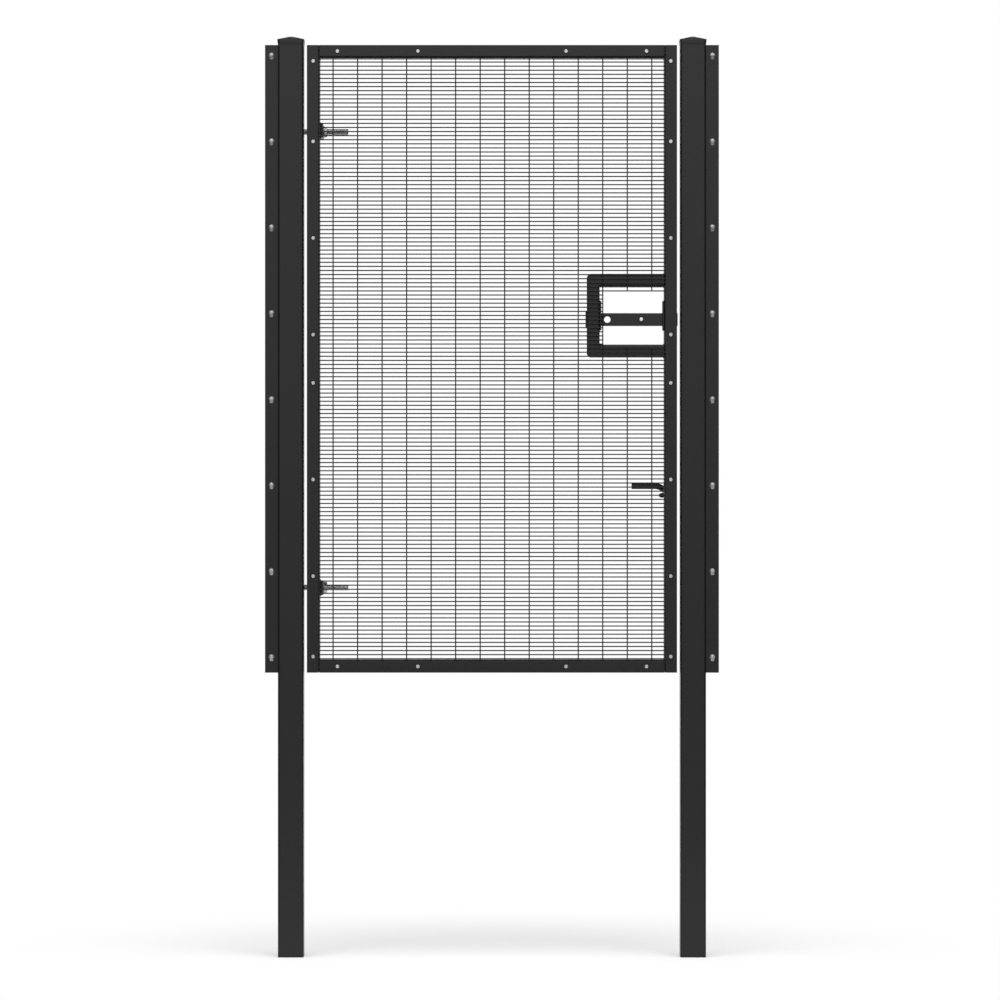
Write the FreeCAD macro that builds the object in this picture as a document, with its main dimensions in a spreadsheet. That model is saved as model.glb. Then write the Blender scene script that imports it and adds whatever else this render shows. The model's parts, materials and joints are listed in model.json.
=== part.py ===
import FreeCAD, Part
import math
import os
import Sketcher

# Anti-climb mesh gate: one hinged leaf of welded wire mesh between two posts.
# Millimetres. +Z is up, +X runs from the hinge post to the latch post, -Y faces the viewer.
# The origin is the middle of the hinge post's foot.

SIZES = {
    # Posts and their caps
    "PostSize": 80,
    "PostWall": 4,
    "PostCorner": 8,
    "PostRise": 16,
    "CapThick": 2,
    "CapFit": 0.2,
    "CapSkirt": 16,
    "CapRise": 11,
    "CapPeak": 8,
    # Leaf and its running gaps
    "LeafWidth": 1150,
    "LeafHeight": 1950,
    "LeafFoot": 884,
    "HingeGap": 10,
    "LatchGap": 10,
    "FrameFace": 40,
    "FrameDepth": 60,
    "FrameWall": 3,
    "FrameCorner": 6,
    # Flat bars that clamp the mesh to the leaf
    "ClampWidth": 35,
    "ClampThick": 5,
    "ClampEndGap": 5,
    # Welded mesh: uprights behind, rungs in front; square bars with the area of 4 mm round wire
    "WireSize": 3.55,
    "UprightPitch": 76.2,
    "RungPitch": 12.7,
    "MeshInset": 5,
    # Fence strips on the outer sides of the posts
    "StripSetback": 9,
    "StripWidth": 40,
    "StripThick": 5,
    "StripHole": 13,
    "StripHoleCount": 8,
    "StripHoleTop": 33.5,
    "StripHoleFoot": 47.5,
    "StripHoleEdge": 20,
    "FlangeThick": 6,
    # Hinges
    "HingeInset": 263,
    "HingeOffset": 12,
    "HingeSetback": 28,
    "PinSize": 20,
    "PinFit": 0.5,
    "PinCrown": 5,
    "EyeSize": 40,
    "EyeHeight": 30,
    "EyeSeat": 0.3,
    "StudSize": 20,
    "ShankSize": 18,
    "ShankLength": 58,
    "StudLength": 164,
    "NutFlats": 30,
    "NutThick": 11,
    "LugThick": 9,
    "LugHeight": 45,
    "LugHold": 45,
    "LugEdge": 20,
    "LugFit": 1,
    "BracketThick": 12,
    "BracketWidth": 48,
    # Latch frame behind the mesh
    "BoltLevel": 1098,
    "LatchRise": 12,
    "LatchDepth": 40,
    "LatchWall": 5,
    "LatchCorner": 14,
    "LatchClearWidth": 200,
    "LatchClearHeight": 180,
    "WindowHalfRungs": 7,
    "WindowUprights": 3,
    # Slide bolt
    "BoltHeight": 40,
    "BoltDepth": 10,
    "BoltSlack": 2,
    "BoltSeat": 0.3,
    "BoltReveal": 3,
    "BoltChamfer": 2,
    "LockHole": 20,
    "LockHoleAt": 68,
    "KnobSize": 12,
    "KnobLength": 26,
    "KnobBevel": 2,
    "KnobAt": 173,
    "GuideHeight": 90,
    "GuideThick": 5,
    "CollarHeight": 47,
    "CollarThick": 4,
    "CollarDepth": 24,
    # Drop bolt behind the latch stile
    "RodSize": 19,
    "RodSetback": 22,
    "RodInset": 25,
    "RodFit": 0.5,
    "RodTipRise": 6,
    "HandleHeight": 580,
    "HandleReach": 114,
    "HandleBend": 41,
    "KeepThick": 9,
    "KeepDrop": 29,
    "KeepMargin": 12,
    "GuideMargin": 5,
    "KeepReach": 28,
    "HandleSlack": 2,
    "MiddleGuide": 300,
    "LowGuide": 20,
}

doc = FreeCAD.newDocument("MeshGate")
sheet = doc.addObject("Spreadsheet::Sheet", "Sizes")
for row, (name, number) in enumerate(SIZES.items(), start=1):
    sheet.set(f"A{row}", name)
    sheet.set(f"B{row}", str(number))
    sheet.setAlias(f"B{row}", name)
doc.recompute()


class Size:
    """A length worked out from the sheet: its formula and what the formula gives now."""

    def __init__(self, formula, number):
        self.formula = formula
        self.number = number

    def _join(self, sign, other, number, swap=False):
        other_formula = other.formula if isinstance(other, Size) else str(other)
        first, second = (other_formula, self.formula) if swap else (self.formula, other_formula)
        return Size(f"({first} {sign} {second})", number)

    def __add__(self, other):
        return self._join("+", other, self.number + plain(other))

    def __radd__(self, other):
        return self._join("+", other, plain(other) + self.number, swap=True)

    def __sub__(self, other):
        return self._join("-", other, self.number - plain(other))

    def __rsub__(self, other):
        return self._join("-", other, plain(other) - self.number, swap=True)

    def __mul__(self, other):
        return self._join("*", other, self.number * plain(other))

    def __truediv__(self, other):
        return self._join("/", other, self.number / plain(other))

    def __neg__(self):
        return Size(f"(0 - {self.formula})", -self.number)


def plain(size):
    """The number of a size or of a plain number."""
    return size.number if isinstance(size, Size) else size


def bind(thing, path, size):
    """Tie one property of an object to a size."""
    if isinstance(size, Size):
        thing.setExpression(path, size.formula)
    else:
        thing.setExpression(path, str(size))


def sheet_size(name):
    return Size(f"Sizes.{name}", float(sheet.get(name)))


dim = {name: sheet_size(name) for name in SIZES}
NODES = []


def whole_below(size):
    """The whole number below a size, for counting how many pitches fit."""
    return Size(f"floor({size.formula})", math.floor(size.number))


def nearest_whole(size):
    """The nearest whole number, for picking a wire by its height."""
    return Size(f"round({size.formula})", math.floor(size.number + 0.5))


# Places that several pieces share
leaf_left = dim["PostSize"] / 2 + dim["HingeGap"]
leaf_right = leaf_left + dim["LeafWidth"]
leaf_bottom = dim["LeafFoot"]
leaf_top = dim["LeafFoot"] + dim["LeafHeight"]
post_length = leaf_top + dim["PostRise"]
latch_post_x = leaf_right + dim["LatchGap"] + dim["PostSize"] / 2
frame_back = dim["PostSize"] / 2
frame_front = frame_back - dim["FrameDepth"]
frame_middle = frame_back - dim["FrameDepth"] / 2
upright_front = frame_front - dim["WireSize"]
rung_front = upright_front - dim["WireSize"]
bolt_z = leaf_bottom + dim["BoltLevel"]
latch_z = bolt_z + dim["LatchRise"]
latch_stile_inner = leaf_right - dim["FrameFace"]
latch_arm_right = latch_stile_inner - dim["LatchClearWidth"]
latch_arm_left = latch_arm_right - dim["FrameFace"]
bolt_y = frame_front + dim["LatchDepth"] / 2
collar_left = latch_arm_left - dim["CollarThick"]
hinge_x = dim["HingeOffset"]
hinge_y = dim["PostSize"] / 2 + dim["HingeSetback"]
rod_x = leaf_right - dim["RodInset"]
rod_y = frame_back + dim["RodSetback"]

# Wires are counted from the top and from the hinge side
edge_wire_x = leaf_left + dim["MeshInset"] - dim["WireSize"] / 2
top_rung_z = leaf_top - dim["WireSize"] / 2
rung_count = whole_below((dim["LeafHeight"] - dim["WireSize"]) / dim["RungPitch"]) + 1
upright_count = whole_below((dim["LeafWidth"] - dim["MeshInset"]) / dim["UprightPitch"]) + 1
window_rung = nearest_whole((top_rung_z - bolt_z) / dim["RungPitch"])
window_upright = upright_count - 1 - dim["WindowUprights"]
bottom_rung_z = top_rung_z - (rung_count - 1) * dim["RungPitch"]

# The window is cut flush with the rung above it and the rung below it
window_top_z = top_rung_z - (window_rung - dim["WindowHalfRungs"]) * dim["RungPitch"] - dim["WireSize"] / 2
window_bottom_z = top_rung_z - (window_rung + dim["WindowHalfRungs"]) * dim["RungPitch"] + dim["WireSize"] / 2


def keep(thing, label):
    """Give a finished piece its node name and put it on the list to be written."""
    thing.Label = label
    NODES.append(thing)
    return thing


def place(thing, x=0, y=0, z=0, axis=None, angle=0):
    """Turn a piece about an axis and tie its position to sizes."""
    if axis:
        turn = FreeCAD.Rotation(FreeCAD.Vector(*axis), angle)
        thing.Placement = FreeCAD.Placement(FreeCAD.Vector(0, 0, 0), turn)
    bind(thing, ".Placement.Base.x", x)
    bind(thing, ".Placement.Base.y", y)
    bind(thing, ".Placement.Base.z", z)
    return thing


def origin_plane(body, role):
    return next(part for part in body.Origin.OriginFeatures if part.Role == role)


def new_body(name):
    return doc.addObject("PartDesign::Body", name)


def new_sketch(body, name, role):
    sketch = body.newObject("Sketcher::SketchObject", name)
    sketch.AttachmentSupport = [(origin_plane(body, role), "")]
    sketch.MapMode = "FlatFace"
    return sketch


def dimension(sketch, label, kind, *geometry, size):
    """Add one named dimension and tie it to a size."""
    index = sketch.addConstraint(Sketcher.Constraint(kind, *geometry, float(plain(size))))
    sketch.renameConstraint(index, label)
    bind(sketch, f"Constraints.{label}", size)


def rectangle(sketch, label, left, bottom, right, top):
    """A rectangle between four places measured from the sketch's origin."""
    corners = [(left, bottom), (right, bottom), (right, top), (left, top)]
    points = [FreeCAD.Vector(plain(across), plain(up), 0) for across, up in corners]
    first = sketch.GeometryCount
    for start, end in zip(points, points[1:] + points[:1]):
        sketch.addGeometry(Part.LineSegment(start, end), False)
    for side in range(4):
        following = first + (side + 1) % 4
        sketch.addConstraint(Sketcher.Constraint("Coincident", first + side, 2, following, 1))
    for side, kind in enumerate(["Horizontal", "Vertical", "Horizontal", "Vertical"]):
        sketch.addConstraint(Sketcher.Constraint(kind, first + side))
    dimension(sketch, f"{label}Left", "DistanceX", -1, 1, first, 1, size=left)
    dimension(sketch, f"{label}Bottom", "DistanceY", -1, 1, first, 1, size=bottom)
    dimension(sketch, f"{label}Wide", "DistanceX", first, 1, first, 2, size=right - left)
    dimension(sketch, f"{label}Tall", "DistanceY", first + 1, 1, first + 1, 2, size=top - bottom)


def polygon(sketch, label, places):
    """A closed outline through places measured from the sketch's origin."""
    points = [FreeCAD.Vector(plain(across), plain(up), 0) for across, up in places]
    first = sketch.GeometryCount
    for start, end in zip(points, points[1:] + points[:1]):
        sketch.addGeometry(Part.LineSegment(start, end), False)
    for side, (across, up) in enumerate(places):
        following = first + (side + 1) % len(places)
        sketch.addConstraint(Sketcher.Constraint("Coincident", first + side, 2, following, 1))
        dimension(sketch, f"{label}Across{side}", "DistanceX", -1, 1, first + side, 1, size=across)
        dimension(sketch, f"{label}Up{side}", "DistanceY", -1, 1, first + side, 1, size=up)


def centred_rectangle(sketch, label, width, height):
    rectangle(sketch, label, -width / 2, -height / 2, width / 2, height / 2)


def rounded_rectangle(sketch, label, width, height, corner):
    """A rectangle about the sketch's origin with round corners."""
    half_x, half_y = (width / 2, height / 2)
    flat_x, flat_y = (half_x - corner, half_y - corner)
    sides = [
        ((-flat_x, -half_y), (flat_x, -half_y)),
        ((half_x, -flat_y), (half_x, flat_y)),
        ((flat_x, half_y), (-flat_x, half_y)),
        ((-half_x, flat_y), (-half_x, -flat_y)),
    ]
    centres = [(flat_x, -flat_y), (flat_x, flat_y), (-flat_x, flat_y), (-flat_x, -flat_y)]
    first = sketch.GeometryCount
    for side, (ends, centre) in enumerate(zip(sides, centres)):
        start, end = (FreeCAD.Vector(plain(across), plain(up), 0) for across, up in ends)
        middle = FreeCAD.Vector(plain(centre[0]), plain(centre[1]), 0)
        turn = Part.Circle(middle, FreeCAD.Vector(0, 0, 1), plain(corner))
        from_angle = (side - 1) * math.pi / 2
        sketch.addGeometry(Part.LineSegment(start, end), False)
        sketch.addGeometry(Part.ArcOfCircle(turn, from_angle, from_angle + math.pi / 2), False)
    for side in range(4):
        line = first + side * 2
        following = first + (side * 2 + 2) % 8
        sketch.addConstraint(Sketcher.Constraint("Tangent", line, 2, line + 1, 1))
        sketch.addConstraint(Sketcher.Constraint("Tangent", line + 1, 2, following, 1))
        sketch.addConstraint(Sketcher.Constraint("Vertical" if side % 2 else "Horizontal", line))
        if side:
            sketch.addConstraint(Sketcher.Constraint("Equal", first + 1, line + 1))
    dimension(sketch, f"{label}Corner", "Radius", first + 1, size=corner)
    dimension(sketch, f"{label}Low", "DistanceY", -1, 1, first, 1, size=-half_y)
    dimension(sketch, f"{label}Right", "DistanceX", -1, 1, first + 2, 1, size=half_x)
    dimension(sketch, f"{label}High", "DistanceY", -1, 1, first + 4, 1, size=half_y)
    dimension(sketch, f"{label}Left", "DistanceX", -1, 1, first + 6, 1, size=-half_x)


def circle(sketch, label, across, up, diameter):
    """A circle whose middle is measured from the sketch's origin."""
    middle = FreeCAD.Vector(plain(across), plain(up), 0)
    round_edge = Part.Circle(middle, FreeCAD.Vector(0, 0, 1), plain(diameter) / 2)
    index = sketch.addGeometry(round_edge, False)
    dimension(sketch, f"{label}Across", "DistanceX", -1, 1, index, 3, size=across)
    dimension(sketch, f"{label}Up", "DistanceY", -1, 1, index, 3, size=up)
    dimension(sketch, f"{label}Diameter", "Diameter", index, size=diameter)


def pad(body, sketch, name, length, symmetric=False):
    feature = body.newObject("PartDesign::Pad", name)
    feature.Profile = sketch
    feature.SideType = "Symmetric" if symmetric else "One side"
    bind(feature, "Length", length)
    doc.recompute()
    return feature


def cut_through(body, sketch, name, one_side=False, reverse=False, depth=None):
    """Cut a sketch through a body or to a depth, and check that it cut something."""
    before = body.Shape.Volume
    feature = body.newObject("PartDesign::Pocket", name)
    feature.Profile = sketch
    feature.Type = "Length" if depth else "ThroughAll"
    if depth:
        bind(feature, "Length", depth)
    feature.SideType = "One side" if one_side or depth else "Symmetric"
    feature.Reversed = reverse
    doc.recompute()
    if body.Shape.Volume > before - 1:
        raise RuntimeError(f"{name} cuts nothing")
    return feature


def edges_along(body, way):
    """The names of the straight edges that run along one of the body's own axes."""
    names = []
    for index, edge in enumerate(body.Shape.Edges, start=1):
        if edge.Curve.TypeId == "Part::GeomLine" and abs(edge.Curve.Direction.dot(way)) > 0.9999:
            names.append(f"Edge{index}")
    return names


UP = FreeCAD.Vector(0, 0, 1)
ACROSS = FreeCAD.Vector(1, 0, 0)
DEEP = FreeCAD.Vector(0, 1, 0)


def round_edges(body, name, edges, radius, kind="Fillet"):
    """Round edges with a radius, or bevel them."""
    before = body.Tip
    feature = body.newObject(f"PartDesign::{kind}", name)
    feature.Base = (before, edges)
    bind(feature, "Radius" if kind == "Fillet" else "Size", radius)
    doc.recompute()
    return feature


def block(name, left, front, bottom, right, back, top):
    """A plain block between two corners."""
    piece = doc.addObject("Part::Box", name)
    bind(piece, "Length", right - left)
    bind(piece, "Width", back - front)
    bind(piece, "Height", top - bottom)
    return place(piece, left, front, bottom)


def group(name, pieces):
    """Like pieces that don't touch, under one name."""
    together = doc.addObject("Part::Compound", name)
    together.Links = pieces
    return together


def square_tube(name, width, depth, wall, corner, length):
    """A rounded hollow section along the body's own Z."""
    body = new_body(name)
    outline = new_sketch(body, f"{name}_outline", "XY_Plane")
    rounded_rectangle(outline, "Outside", width, depth, corner)
    rounded_rectangle(outline, "Inside", width - wall * 2, depth - wall * 2, corner - wall)
    pad(body, outline, f"{name}_length", length)
    return body


def mitre(body, name, width, length, low=True, high=True):
    """Cut the ends of a tube at 45 degrees, leaving its long side at -X."""
    lines = new_sketch(body, f"{name}_mitre_lines", "XZ_Plane")
    half = width / 2
    if low:
        polygon(lines, "Low", [(-half, 0), (half, 0), (half, width)])
    if high:
        polygon(lines, "High", [(-half, length), (half, length - width), (half, length)])
    cut_through(body, lines, f"{name}_mitre")


def round_corner(body, name, width, end, corner, sign):
    """Round the outer corner of a mitred end. Sign is 1 at the tube's low end and -1 at its high end."""
    sketch = new_sketch(body, f"{name}_corner_outline", "XZ_Plane")
    tip_x, tip_z = (plain(-width / 2), plain(end))
    reach = plain(corner)
    tip = FreeCAD.Vector(tip_x, tip_z, 0)
    across = FreeCAD.Vector(tip_x + reach, tip_z, 0)
    along = FreeCAD.Vector(tip_x, tip_z + reach * sign, 0)
    middle = FreeCAD.Vector(tip_x + reach, tip_z + reach * sign, 0)
    from_angle = math.pi if sign > 0 else math.pi / 2
    turn = Part.ArcOfCircle(Part.Circle(middle, UP, reach), from_angle, from_angle + math.pi / 2)
    sketch.addGeometry(Part.LineSegment(tip, across), False)
    sketch.addGeometry(Part.LineSegment(along, tip), False)
    sketch.addGeometry(turn, False)
    sketch.addConstraint(Sketcher.Constraint("Coincident", 1, 2, 0, 1))
    sketch.addConstraint(Sketcher.Constraint("Coincident", 0, 2, 2, 2 if sign > 0 else 1))
    sketch.addConstraint(Sketcher.Constraint("Coincident", 1, 1, 2, 1 if sign > 0 else 2))
    sketch.addConstraint(Sketcher.Constraint("Horizontal", 0))
    sketch.addConstraint(Sketcher.Constraint("Vertical", 1))
    dimension(sketch, "TipAcross", "DistanceX", -1, 1, 0, 1, size=-width / 2)
    dimension(sketch, "TipUp", "DistanceY", -1, 1, 0, 1, size=end)
    dimension(sketch, "Across", "DistanceX", 0, 1, 0, 2, size=corner)
    dimension(sketch, "Along", "DistanceY", 1, 1, 1, 2, size=-corner * sign)
    dimension(sketch, "Corner", "Radius", 2, size=corner)
    cut_through(body, sketch, f"{name}_corner_cut")


def bolt_slot(body, name, middle, high, one_side=False, reverse=False):
    """The slot that the slide bolt runs through, across a tube's two side walls or one of them."""
    outline = new_sketch(body, f"{name}_slot_outline", "YZ_Plane")
    half_wide = dim["BoltDepth"] / 2 + dim["BoltSlack"]
    half_tall = dim["BoltHeight"] / 2 + dim["BoltSlack"]
    rectangle(outline, "Slot", middle - half_wide, high - half_tall, middle + half_wide, high + half_tall)
    cut_through(body, outline, f"{name}_slot", one_side, reverse)


def build_posts():
    """Two square posts; the latch post's inner wall has the slot that the bolt enters."""
    for name, x in (("hinge_post", 0), ("latch_post", latch_post_x)):
        size, wall, corner = (dim["PostSize"], dim["PostWall"], dim["PostCorner"])
        post = square_tube(name, size, size, wall, corner, post_length)
        if name == "latch_post":
            bolt_slot(post, name, bolt_y, bolt_z, one_side=True)
        place(post, x)
        keep(post, name)
        build_cap(f"{name}_cap", x)


def build_cap(name, x):
    """A cap over the post's end: a shallow pyramid with a skirt."""
    outside = dim["PostSize"] + (dim["CapFit"] + dim["CapThick"]) * 2
    inside = dim["PostSize"] + dim["CapFit"] * 2
    half = outside / 2
    eaves = dim["CapSkirt"]
    crown = dim["CapSkirt"] + dim["CapRise"]
    cap = new_body(name)
    outline = new_sketch(cap, f"{name}_outline", "XY_Plane")
    corner = dim["PostCorner"] + dim["CapFit"]
    rounded_rectangle(outline, "Outside", outside, outside, corner + dim["CapThick"])
    pad(cap, outline, f"{name}_block", crown)
    for plane in ("XZ_Plane", "YZ_Plane"):
        slopes = new_sketch(cap, f"{name}_{plane[:2]}_slopes", plane)
        for word, sign in (("Left", -1), ("Right", 1)):
            eaves_edge = (half * sign, eaves)
            peak = (dim["CapPeak"] / 2 * sign, crown)
            polygon(slopes, word, [eaves_edge, peak, (half * sign, crown)])
        cut_through(cap, slopes, f"{name}_{plane[:2]}_roof")
    mouth = new_sketch(cap, f"{name}_mouth", "XY_Plane")
    rounded_rectangle(mouth, "Inside", inside, inside, corner)
    ceiling = dim["CapSkirt"] - dim["CapThick"]
    cut_through(cap, mouth, f"{name}_hollow", reverse=True, depth=ceiling)
    place(cap, x, 0, post_length - ceiling)
    keep(cap, name)


def build_fence_strips():
    """On each post's outer side: a welded flange, and the bolted strip that would clamp a fence to it.

    The flange's holes are square, to hold the necks of the bolts, and the strip's are round.
    """
    half_post = dim["PostSize"] / 2
    sides = (("hinge", -half_post - dim["StripWidth"]), ("latch", latch_post_x + half_post))
    strip_back = dim["StripSetback"] + dim["StripThick"] - half_post
    middle, foot, half_hole = (dim["StripHoleEdge"], dim["StripHoleFoot"], dim["StripHole"] / 2)
    hole_span = dim["LeafHeight"] - dim["StripHoleTop"] - dim["StripHoleFoot"]
    hole_pitch = hole_span / (dim["StripHoleCount"] - 1)
    for side, left in sides:
        for name, back, thick in (
            (f"{side}_post_strip", strip_back, dim["StripThick"]),
            (f"{side}_post_flange", strip_back + dim["FlangeThick"], dim["FlangeThick"]),
        ):
            bar = new_body(name)
            outline = new_sketch(bar, f"{name}_outline", "XZ_Plane")
            rectangle(outline, "Bar", 0, 0, dim["StripWidth"], dim["LeafHeight"])
            pad(bar, outline, f"{name}_thickness", thick)
            hole = new_sketch(bar, f"{name}_hole_outline", "XZ_Plane")
            if thick is dim["FlangeThick"]:
                rectangle(hole, "Neck", middle - half_hole, foot - half_hole, middle + half_hole, foot + half_hole)
            else:
                circle(hole, "Hole", middle, foot, dim["StripHole"])
            first_hole = cut_through(bar, hole, f"{name}_first_hole")
            repeat(bar, f"{name}_holes", first_hole, hole, hole_pitch, dim["StripHoleCount"])
            place(bar, left, back, leaf_bottom)
            keep(bar, name)


def repeat(body, name, feature, sketch, pitch, count):
    """Repeat a feature upwards along its sketch's own vertical axis."""
    row = body.newObject("PartDesign::LinearPattern", name)
    row.Originals = [feature]
    row.Direction = (sketch, ["V_Axis"])
    row.Mode = "Spacing"
    bind(row, "Offset", pitch)
    bind(row, "Occurrences", count)
    body.Tip = row
    doc.recompute()


def build_leaf_frame():
    """Four mitred tubes. The latch stile also has the slot for the slide bolt."""
    face, depth, wall, corner = (dim["FrameFace"], dim["FrameDepth"], dim["FrameWall"], dim["FrameCorner"])
    high, wide = (dim["LeafHeight"], dim["LeafWidth"])
    lengths = {"hinge_stile": high, "latch_stile": high, "top_rail": wide, "bottom_rail": wide}
    for name, length in lengths.items():
        tube = square_tube(name, face, depth, wall, corner, length)
        mitre(tube, name, face, length)
        keep(tube, name)
    hinge_stile, latch_stile, top_rail, bottom_rail = NODES[-4:]
    bolt_slot(latch_stile, "latch_stile", frame_middle - bolt_y, dim["BoltLevel"])
    place(hinge_stile, leaf_left + face / 2, frame_middle, leaf_bottom)
    place(latch_stile, leaf_right - face / 2, frame_middle, leaf_bottom, (0, 0, 1), 180)
    place(top_rail, leaf_left, frame_middle, leaf_top - face / 2, (0, 1, 0), 90)
    place(bottom_rail, leaf_right, frame_middle, leaf_bottom + face / 2, (0, 1, 0), -90)


def build_clamp_bars():
    """Flat bars on the mesh: full-height ones on the stiles, and between them the rails' bars."""
    front = rung_front - dim["ClampThick"]
    wide = dim["ClampWidth"]
    inner_left = leaf_left + wide + dim["ClampEndGap"]
    inner_right = leaf_right - wide - dim["ClampEndGap"]
    bars = {
        "hinge_clamp_bar": (leaf_left, leaf_bottom, leaf_left + wide, leaf_top),
        "latch_clamp_bar": (leaf_right - wide, leaf_bottom, leaf_right, leaf_top),
        "top_clamp_bar": (inner_left, leaf_top - wide, inner_right, leaf_top),
        "bottom_clamp_bar": (inner_left, leaf_bottom, inner_right, leaf_bottom + wide),
    }
    for name, (left, low, right, high) in bars.items():
        keep(block(name, left, front, low, right, rung_front, high), name)


def mesh_ladder(name, bottom, top, first_rung, count, across):
    """Rungs welded across two uprights. First_rung is the lowest rung's middle."""
    wire = dim["WireSize"]
    ladder = new_body(name)
    ends = new_sketch(ladder, f"{name}_upright_ends", "XY_Plane")
    rectangle(ends, "Near", 0, 0, wire, wire)
    rectangle(ends, "Far", across - wire, 0, across, wire)
    pad(ladder, ends, f"{name}_uprights", top - bottom)
    end = new_sketch(ladder, f"{name}_rung_end", "YZ_Plane")
    low = first_rung - wire / 2 - bottom
    rectangle(end, "Rung", -wire, low, 0, low + wire)
    rung = pad(ladder, end, f"{name}_rung", across)
    repeat(ladder, f"{name}_rungs", rung, end, dim["RungPitch"], count)
    place(ladder, edge_wire_x, upright_front, bottom)
    keep(ladder, name)


def mesh_uprights(name, first, last, bottom, top):
    """Separate upright wires behind the rungs, counted from the hinge side."""
    wires = []
    for index in range(first, last + 1):
        left = edge_wire_x + dim["UprightPitch"] * index
        right = left + dim["WireSize"]
        wires.append(block(f"{name}_{index}", left, upright_front, bottom, right, frame_front, top))
    keep(group(name, wires), name)


def build_mesh():
    """The welded mesh, in bands above, beside and below the latch window."""
    half = dim["WindowHalfRungs"]
    pitch = dim["RungPitch"]
    wide = (upright_count - 1) * dim["UprightPitch"] + dim["WireSize"]
    beside = window_upright * dim["UprightPitch"] + dim["WireSize"]
    upper_count = window_rung - half + 1
    middle_count = half * 2 - 1
    lower_count = rung_count - window_rung - half
    half_wire = dim["WireSize"] / 2
    low_end = bottom_rung_z - half_wire
    sill, lintel = (window_bottom_z, window_top_z)
    mesh_ladder("mesh_upper_rungs", lintel, leaf_top, lintel + half_wire, upper_count, wide)
    mesh_ladder("mesh_middle_rungs", sill, lintel, sill - half_wire + pitch, middle_count, beside)
    mesh_ladder("mesh_lower_rungs", low_end, sill, bottom_rung_z, lower_count, wide)
    border = int(plain(window_upright))
    last = int(plain(upright_count)) - 2
    mesh_uprights("mesh_uprights", 1, border - 1, low_end, leaf_top)
    mesh_uprights("mesh_upper_uprights", border, last, lintel, leaf_top)
    mesh_uprights("mesh_lower_uprights", border, last, low_end, sill)


def build_latch_frame():
    """Three mitred tubes round the latch window, welded to the latch stile behind the mesh.

    The two outer corners are ground round, just short of the hollow inside.
    """
    face, depth, wall, corner = (dim["FrameFace"], dim["LatchDepth"], dim["LatchWall"], dim["FrameCorner"])
    wide = dim["LatchClearWidth"] + face
    high = dim["LatchClearHeight"] + face * 2
    rounding = dim["LatchCorner"]
    side_arm = square_tube("latch_frame_side_arm", face, depth, wall, corner, high)
    mitre(side_arm, "latch_frame_side_arm", face, high)
    round_corner(side_arm, "latch_frame_side_arm_low", face, 0, rounding, 1)
    round_corner(side_arm, "latch_frame_side_arm_high", face, high, rounding, -1)
    bolt_slot(side_arm, "latch_frame_side_arm", 0, high / 2 - dim["LatchRise"])
    place(side_arm, latch_arm_left + face / 2, bolt_y, latch_z - high / 2)
    keep(side_arm, "latch_frame_side_arm")
    top_arm = square_tube("latch_frame_top_arm", face, depth, wall, corner, wide)
    mitre(top_arm, "latch_frame_top_arm", face, wide, high=False)
    round_corner(top_arm, "latch_frame_top_arm", face, 0, rounding, 1)
    place(top_arm, latch_arm_left, bolt_y, latch_z + high / 2 - face / 2, (0, 1, 0), 90)
    keep(top_arm, "latch_frame_top_arm")
    bottom_arm = square_tube("latch_frame_bottom_arm", face, depth, wall, corner, wide)
    mitre(bottom_arm, "latch_frame_bottom_arm", face, wide, low=False)
    round_corner(bottom_arm, "latch_frame_bottom_arm", face, wide, rounding, -1)
    place(bottom_arm, latch_stile_inner, bolt_y, latch_z - high / 2 + face / 2, (0, 1, 0), -90)
    keep(bottom_arm, "latch_frame_bottom_arm")


def slotted_plate(name, left, thick, deep, tall, middle):
    """An upright plate that the slide bolt runs through."""
    plate = new_body(name)
    outline = new_sketch(plate, f"{name}_outline", "YZ_Plane")
    half_wide = (dim["BoltDepth"] + dim["BoltSlack"]) / 2
    low = bolt_z - middle - dim["BoltHeight"] / 2 - dim["BoltSeat"]
    high = bolt_z - middle + dim["BoltHeight"] / 2 + dim["BoltSlack"]
    centred_rectangle(outline, "Plate", deep, tall)
    rectangle(outline, "Slot", -half_wide, low, half_wide, high)
    pad(plate, outline, f"{name}_thickness", thick)
    place(plate, left, bolt_y, middle)
    keep(plate, name)


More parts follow.
